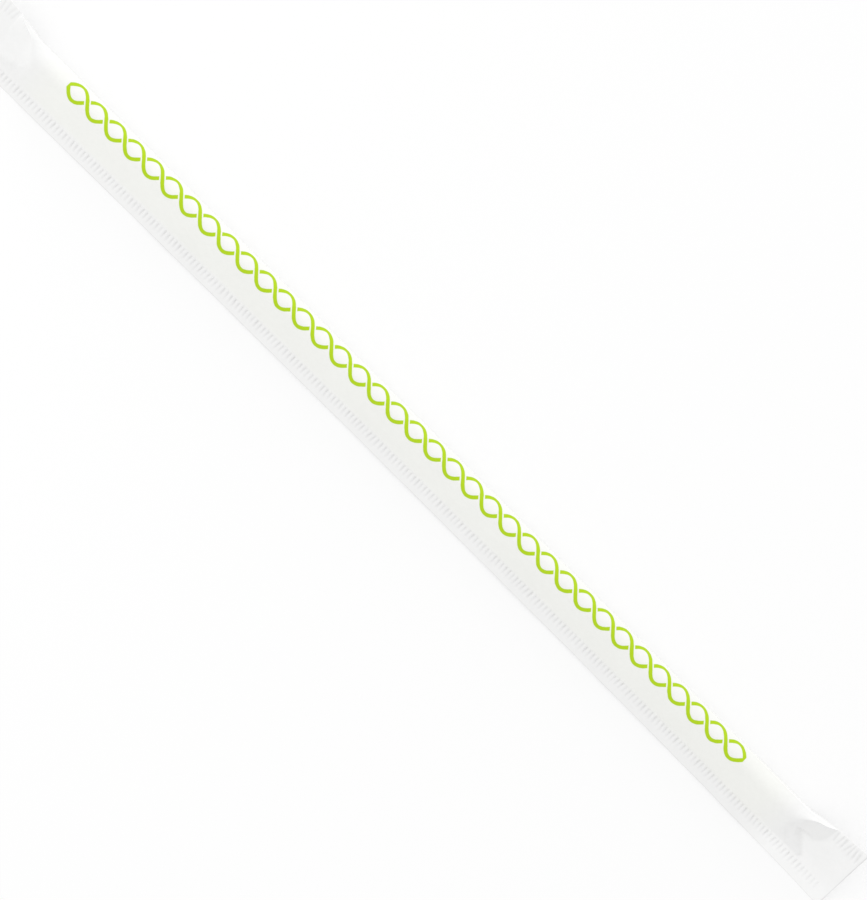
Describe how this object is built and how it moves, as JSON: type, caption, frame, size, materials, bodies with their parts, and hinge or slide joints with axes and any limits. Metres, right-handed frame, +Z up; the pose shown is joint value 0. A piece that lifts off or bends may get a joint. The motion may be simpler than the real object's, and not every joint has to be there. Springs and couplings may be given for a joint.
{
  "type": "wrapped drinking straw",
  "caption": "Drinking straw sealed in a folded white paper wrapper, with a crimped fin seam along one side and flat crimped ends.",
  "frame": {"origin": "middle of the wrapper's footprint, on the surface that it lies on", "axes": "+X along the straw, +Z up from the surface, the fin seam on the -Y side and the fold on the +Y side"},
  "size_m": [0.2392, 0.0138, 0.0059],
  "materials": {
    "wrapper_paper": "uncoated white paper with a lime-green printed ornament"
  },
  "bodies": {
    "root": {"wrapped_straw": "wrapper_paper"}
  },
  "joints": []
}
